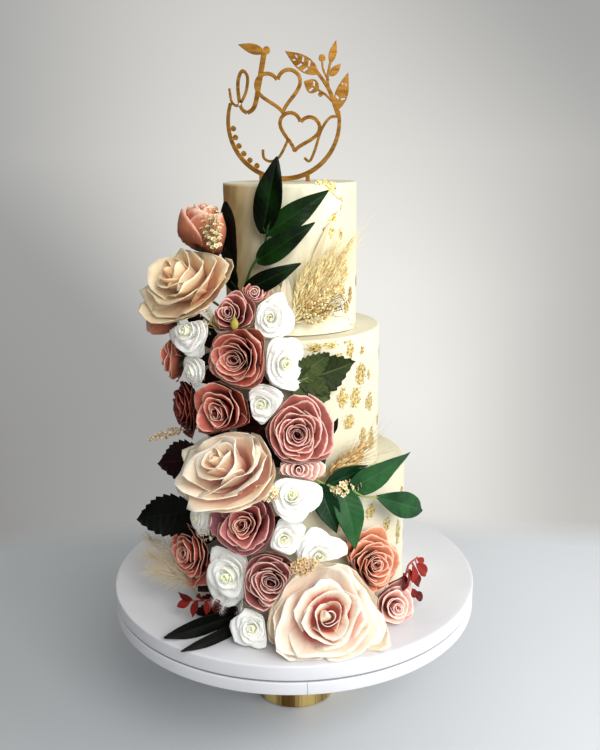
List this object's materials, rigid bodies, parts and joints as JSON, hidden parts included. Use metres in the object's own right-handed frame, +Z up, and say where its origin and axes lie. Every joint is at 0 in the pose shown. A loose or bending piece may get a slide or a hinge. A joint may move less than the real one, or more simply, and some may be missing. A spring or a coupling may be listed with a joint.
{
  "type": "tiered wedding cake",
  "caption": "Tiered iced cake on its board and pedestal stand, with a cascade of artificial roses, leaves and dried ears down the front and a flat cut-out topper",
  "frame": {"origin": "middle of the pedestal foot's underside, on the table", "axes": "+Z up along the cake's axis, the flowered front looks along -Y, +X to the viewer's right"},
  "size_m": [0.374, 0.374, 0.6686],
  "materials": {
    "foot_gold": "brushed gold",
    "board_white": "smooth white, satin",
    "icing_ivory": "smooth ivory icing with scraps of gold leaf",
    "wafer_paper": "cream wafer paper with a torn edge",
    "topper_gold": "gold, satin",
    "petal_peach": "pale peach fabric petals, coral in the depths",
    "petal_coral": "muted coral fabric petals",
    "petal_dusty": "dusty rose fabric petals",
    "petal_rust": "rust fabric petals",
    "petal_pink": "soft pink fabric petals",
    "petal_white": "white foam petals",
    "leaf_green": "deep green fabric leaf, soft sheen",
    "leaf_fresh": "mid green fabric leaf",
    "leaf_olive": "olive fabric leaf",
    "leaf_dark": "near-black green leaf",
    "leaf_wine": "dark wine leaf",
    "leaf_red": "red-brown leaf",
    "straw": "dried ears, straw",
    "plume": "dried plume, cream",
    "blossom": "small dried blossoms",
    "petal_cream": "dried cream petals"
  },
  "bodies": {
    "root": {"stand_foot": "foot_gold", "stand_disc": "board_white", "cake_board": "board_white", "tier_bottom": "icing_ivory", "tier_middle": "icing_ivory", "tier_top": "icing_ivory", "wafer_sheet": "wafer_paper", "topper": "topper_gold", "rose_bud_coral": "petal_coral", "rose_peach_upper": "petal_peach", "rose_coral_side": "petal_coral", "rose_white_1": "petal_white", "rose_dusty_1": "petal_dusty", "rose_pink_tiny": "petal_pink", "rose_white_2": "petal_white", "rose_coral_1": "petal_coral", "rose_rust_1": "petal_rust", "rose_white_3": "petal_white", "rose_white_4": "petal_white", "rose_white_5": "petal_white", "rose_rust_2": "petal_rust", "rose_coral_2": "petal_coral", "rose_peach_middle": "petal_peach", "rose_dusty_2": "petal_dusty", "rose_pink_small": "petal_pink", "rose_white_6": "petal_white", "rose_coral_3": "petal_coral", "rose_white_7": "petal_white", "rose_coral_4": "petal_coral", "rose_white_8": "petal_white", "rose_white_9": "petal_white", "rose_white_10": "petal_white", "rose_dusty_3": "petal_dusty", "rose_white_11": "petal_white", "rose_peach_lower": "petal_peach", "rose_coral_5": "petal_coral", "rose_pink_low": "petal_pink", "leaf_sprig_top": "leaf_green", "leaf_sprig_right": "leaf_fresh", "leaf_rose_right": "leaf_olive", "leaf_dark_upper": "leaf_dark", "leaf_dark_left": "leaf_dark", "leaf_wine_left": "leaf_wine", "leaf_low_left_1": "leaf_dark", "leaf_low_left_2": "leaf_dark", "palm_petals_cream": "petal_cream", "red_sprig_right": "leaf_red", "red_sprig_left": "leaf_red", "leaf_bed_middle": "leaf_wine", "leaf_bed_upper": "leaf_wine", "leaf_bed_lower": "leaf_wine", "wheat_bundle": "straw", "wheat_right": "straw", "pampas_left": "plume", "spike_left": "plume", "blossom_upper": "blossom", "blossom_middle": "blossom", "blossom_low": "blossom", "blossom_right": "blossom"}
  },
  "joints": []
}
